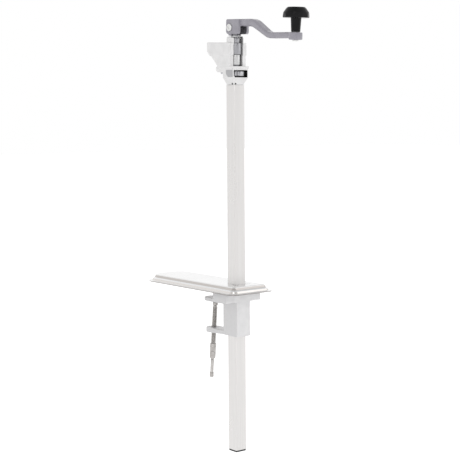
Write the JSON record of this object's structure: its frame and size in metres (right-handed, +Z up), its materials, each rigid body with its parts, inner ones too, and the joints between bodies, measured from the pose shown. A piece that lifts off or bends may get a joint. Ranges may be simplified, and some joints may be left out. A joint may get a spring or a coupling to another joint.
{
  "type": "bench can opener",
  "caption": "Table-clamp can opener: square post sliding through a clamp with a long polished base plate, gear and knife head on top, and a tilting crank with a mushroom knob.",
  "frame": {"origin": "middle of the upper jaw's underside, the face that sits on the table", "axes": "+Z up along the post, +Y from the post towards the far end of the base plate, where the can stands"},
  "size_m": [0.086, 0.3603, 0.6817],
  "materials": {
    "cast_clamp": "as-cast, fine sand texture, lacquered",
    "cast_head": "satin silver casting",
    "tube_steel": "satin zinc-nickel plate over drawn square tube",
    "plate_steel": "polished stainless sheet",
    "screw_steel": "bright plated steel",
    "fastener_steel": "zinc plated",
    "dark_steel": "black oxide",
    "tool_steel": "hardened, ground",
    "bearing_steel": "turned, grey",
    "spring_steel": "rolled, bright",
    "arm_paint": "semi-gloss grey stove enamel",
    "black_gloss": "moulded, glossy",
    "black_matte": "moulded, matte",
    "nylon": "natural nylon"
  },
  "bodies": {
    "base": {"clamp_casting": "cast_clamp", "sleeve_liner": "nylon", "base_plate": "plate_steel", "plate_screws": "fastener_steel", "plate_weld_nuts": "fastener_steel"},
    "post": {"post_tube": "tube_steel", "post_end_cap": "black_matte", "post_spigot": "fastener_steel", "head_casting": "cast_head", "head_set_screws": "dark_steel", "lower_bushing": "bearing_steel", "knife_blade": "tool_steel", "knife_screws": "fastener_steel", "bowed_washer": "spring_steel"},
    "bearing": {"upper_bushing": "bearing_steel"},
    "arbor": {"arbor_shaft": "bearing_steel", "arbor_spacer": "spring_steel", "drive_gear": "tool_steel", "gear_pin": "fastener_steel"},
    "arm": {"crank_arm": "arm_paint", "crank_pin": "fastener_steel", "knob_spindle": "fastener_steel", "knob_washer": "fastener_steel", "knob_nut": "fastener_steel"},
    "knob": {"knob_grip": "black_gloss", "knob_cap": "black_gloss"},
    "pad": {"screw_pad": "screw_steel"},
    "screw": {"clamp_screw": "screw_steel", "handle_pin": "screw_steel"},
    "handle": {"clamp_handle": "screw_steel", "handle_end_cap": "screw_steel"}
  },
  "joints": [
    {"name": "post_slide", "type": "slide", "parent": "base", "child": "post", "axis": [0, 0, 1], "range_m": [-0.3, 0.175]},
    {"name": "gear_lift", "type": "slide", "parent": "post", "child": "bearing", "axis": [0, 0, 1], "range_m": [-0.0012, 0]},
    {"name": "crank_turn", "type": "hinge", "parent": "bearing", "child": "arbor", "pos_m": [0, -0.0445, 0.3876], "axis": [0, 0, 1], "continuous": true},
    {"name": "arm_tilt", "type": "hinge", "parent": "arbor", "child": "arm", "pos_m": [0, -0.0445, 0.4272], "axis": [-1, 0, 0], "range_deg": [0, 60]},
    {"name": "knob_spin", "type": "hinge", "parent": "arm", "child": "knob", "pos_m": [0, -0.18537, 0.42105], "axis": [0, -0.0436, 0.999], "continuous": true},
    {"name": "screw_travel", "type": "slide", "parent": "base", "child": "pad", "axis": [0, -0.0941, 0.9956], "range_m": [-0.03375, 0]},
    {"name": "screw_turn", "type": "hinge", "parent": "pad", "child": "screw", "pos_m": [0, 0.014, -0.0464], "axis": [0, -0.0941, 0.9956], "range_deg": [-9720, 0]},
    {"name": "handle_swing", "type": "hinge", "parent": "screw", "child": "handle", "pos_m": [0, 0.0176, -0.08453], "axis": [0.6225, 0.7791, 0.0736], "range_deg": [-90, 90]}
  ],
  "couplings": [
    {"joint": "gear_lift", "follows": "arm_tilt", "m_per_rad": -0.00114},
    {"joint": "screw_turn", "follows": "screw_travel", "rad_per_m": 5026.5}
  ]
}
